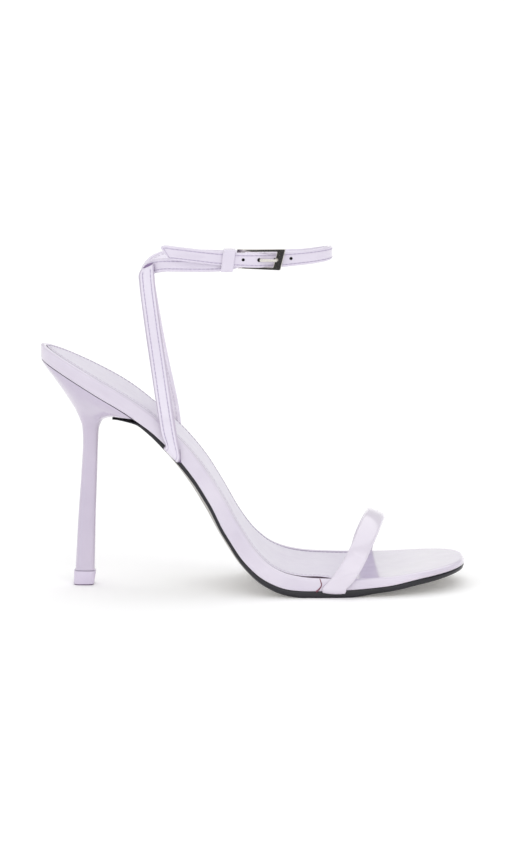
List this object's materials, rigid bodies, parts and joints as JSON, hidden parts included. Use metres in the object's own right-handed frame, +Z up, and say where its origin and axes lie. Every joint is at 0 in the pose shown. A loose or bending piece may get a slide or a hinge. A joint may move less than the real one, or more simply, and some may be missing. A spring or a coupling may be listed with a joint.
{
  "type": "open-toe high heel",
  "caption": "Open-toe high-heeled sandal in lilac patent leather: wrapped footbed on a thin sole, slender heel, toe strap, and crossed ankle straps fastened by a side buckle.",
  "frame": {"origin": "on the floor, under the middle of the overall box", "axes": "+X to the toe, +Y to the inner side of the foot, +Z up"},
  "size_m": [0.2012, 0.0801, 0.1667],
  "materials": {
    "patent_rim": "patent gloss",
    "patent_strap": "patent gloss",
    "sock_lining": "smooth satin",
    "patent_heel": "gloss",
    "top_lift": "satin",
    "painted_sole": "painted edge",
    "polished_silver": "polished"
  },
  "bodies": {
    "root": {"insole_board": "patent_rim", "sock": "sock_lining", "outsole": "painted_sole", "heel_block": "patent_heel", "heel_top_lift": "top_lift", "toe_strap": "patent_strap", "ankle_straps": "patent_strap", "strap_keeper": "patent_strap", "buckle_frame": "polished_silver", "buckle_prong": "polished_silver"}
  },
  "joints": []
}
